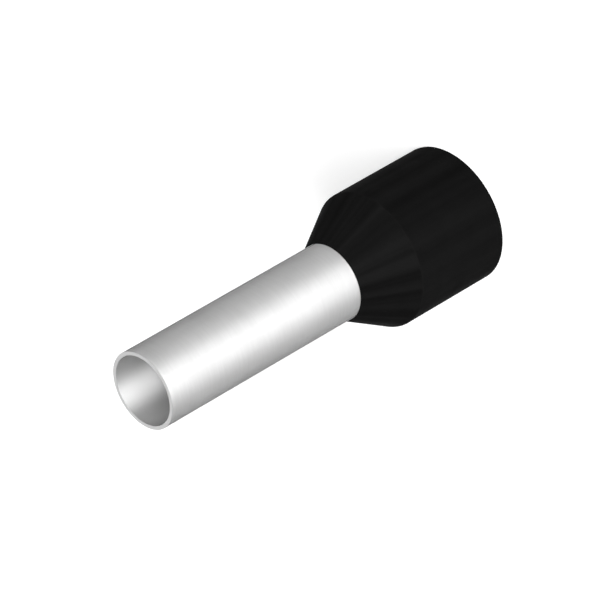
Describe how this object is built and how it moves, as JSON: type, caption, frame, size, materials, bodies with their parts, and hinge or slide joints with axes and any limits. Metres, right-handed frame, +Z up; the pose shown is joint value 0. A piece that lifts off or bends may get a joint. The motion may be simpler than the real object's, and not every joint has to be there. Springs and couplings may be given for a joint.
{
  "type": "wire ferrule",
  "caption": "Insulated wire ferrule: a thin tinned metal sleeve, belled at its rear end inside a black plastic collar that widens down a cone to a plain cylinder.",
  "frame": {"origin": "centre of the collar's mouth, in the plane of the rim that the ferrule stands on", "axes": "+Z up the common axis, from the collar's mouth to the sleeve's tip; X and Y are free, since every section is round"},
  "size_m": [0.0068, 0.0068, 0.02],
  "materials": {
    "tinned_copper": "satin tin plate over copper",
    "collar_plastic": "black moulded polypropylene, satin"
  },
  "bodies": {
    "root": {"sleeve": "tinned_copper", "collar": "collar_plastic"}
  },
  "joints": []
}
